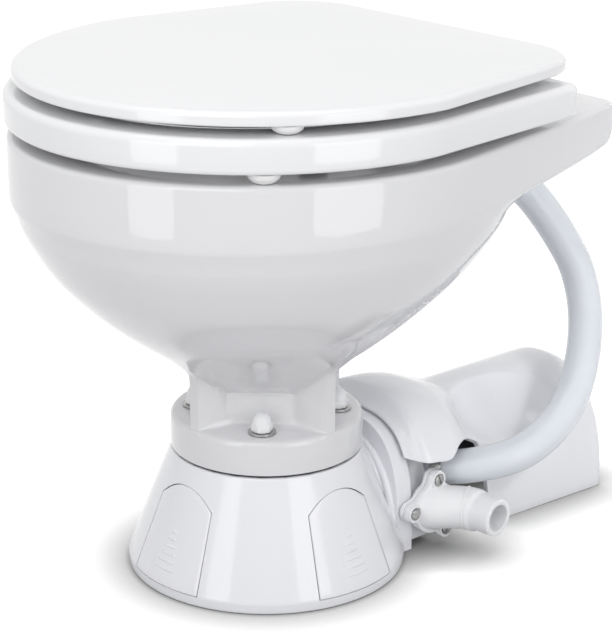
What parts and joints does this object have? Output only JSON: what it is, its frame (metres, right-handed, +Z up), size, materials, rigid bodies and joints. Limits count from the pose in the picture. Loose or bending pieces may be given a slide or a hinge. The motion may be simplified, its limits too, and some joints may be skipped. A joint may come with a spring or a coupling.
{
  "type": "electric marine toilet",
  "caption": "Compact electric marine toilet: glazed bowl with hinged seat and lid, bolted to a plastic base with a macerator pump, covered motor, flush hose and discharge elbow.",
  "frame": {"origin": "centre of the base's underside, on the floor", "axes": "+Z up, -Y towards the front of the bowl, +X to the right-hand side of a viewer at the back, where the discharge elbow is"},
  "size_m": [0.3368, 0.4684, 0.3745],
  "materials": {
    "ceramic": "white glaze, high gloss",
    "enamel": "moulded wood under white gloss enamel",
    "plastic": "white moulded, semi-gloss",
    "nylon": "white moulded, satin",
    "hose": "white sanitation hose, satin",
    "rubber": "black, matt",
    "bumper": "white, matt",
    "steel": "stainless, plain",
    "motor": "black, satin",
    "copper": "wound copper"
  },
  "bodies": {
    "toilet": {"base_housing": "plastic", "bolt_cover_front": "plastic", "bolt_cover_right": "plastic", "bolt_cover_left": "plastic", "bowl_gasket": "rubber", "bowl": "ceramic", "bowl_stud_1": "steel", "bowl_stud_2": "steel", "bowl_stud_3": "steel", "bowl_stud_4": "steel", "bowl_washer_1": "steel", "bowl_washer_2": "steel", "bowl_washer_3": "steel", "bowl_washer_4": "steel", "bowl_nut_1": "nylon", "bowl_nut_2": "nylon", "bowl_nut_3": "nylon", "bowl_nut_4": "nylon", "inlet_spud": "nylon", "inlet_grommet": "rubber", "flush_hose": "hose", "hose_clamp_pump": "steel", "hose_clamp_bowl": "steel", "hinge_post_left": "nylon", "hinge_post_right": "nylon", "hinge_pin_left": "steel", "hinge_pin_right": "steel", "hinge_bolt_left": "steel", "hinge_bolt_right": "steel", "hinge_nut_left": "nylon", "hinge_nut_right": "nylon", "macerator_housing": "plastic", "chopper_plate": "steel", "shaft_seal": "rubber", "rinse_pump_body": "plastic", "motor_shell": "motor", "front_bearing": "steel", "motor_end_bell": "motor", "rear_bearing": "steel", "motor_magnet_upper": "motor", "motor_magnet_lower": "motor", "motor_cover": "plastic", "discharge_elbow": "nylon", "joker_valve": "rubber", "elbow_screw_1": "steel", "elbow_screw_2": "steel", "elbow_screw_3": "steel"},
    "seat": {"seat": "enamel", "seat_bumper_1": "bumper", "seat_bumper_2": "bumper", "seat_bumper_3": "bumper", "seat_bumper_4": "bumper"},
    "lid": {"lid": "enamel", "lid_bumper_1": "bumper", "lid_bumper_2": "bumper"},
    "rotor": {"motor_shaft": "steel", "macerator_blade": "steel", "discharge_impeller": "nylon", "rinse_impeller": "rubber", "armature": "copper"}
  },
  "joints": [
    {"name": "seat_hinge", "type": "hinge", "parent": "toilet", "child": "seat", "pos_m": [0, 0.183, 0.3535], "axis": [-1, 0, 0], "range_deg": [0, 95]},
    {"name": "lid_hinge", "type": "hinge", "parent": "seat", "child": "lid", "pos_m": [0, 0.183, 0.3535], "axis": [-1, 0, 0], "range_deg": [0, 95]},
    {"name": "rotor_spin", "type": "hinge", "parent": "toilet", "child": "rotor", "pos_m": [0, 0.1346, 0.046], "axis": [0, 1, 0], "continuous": true}
  ]
}
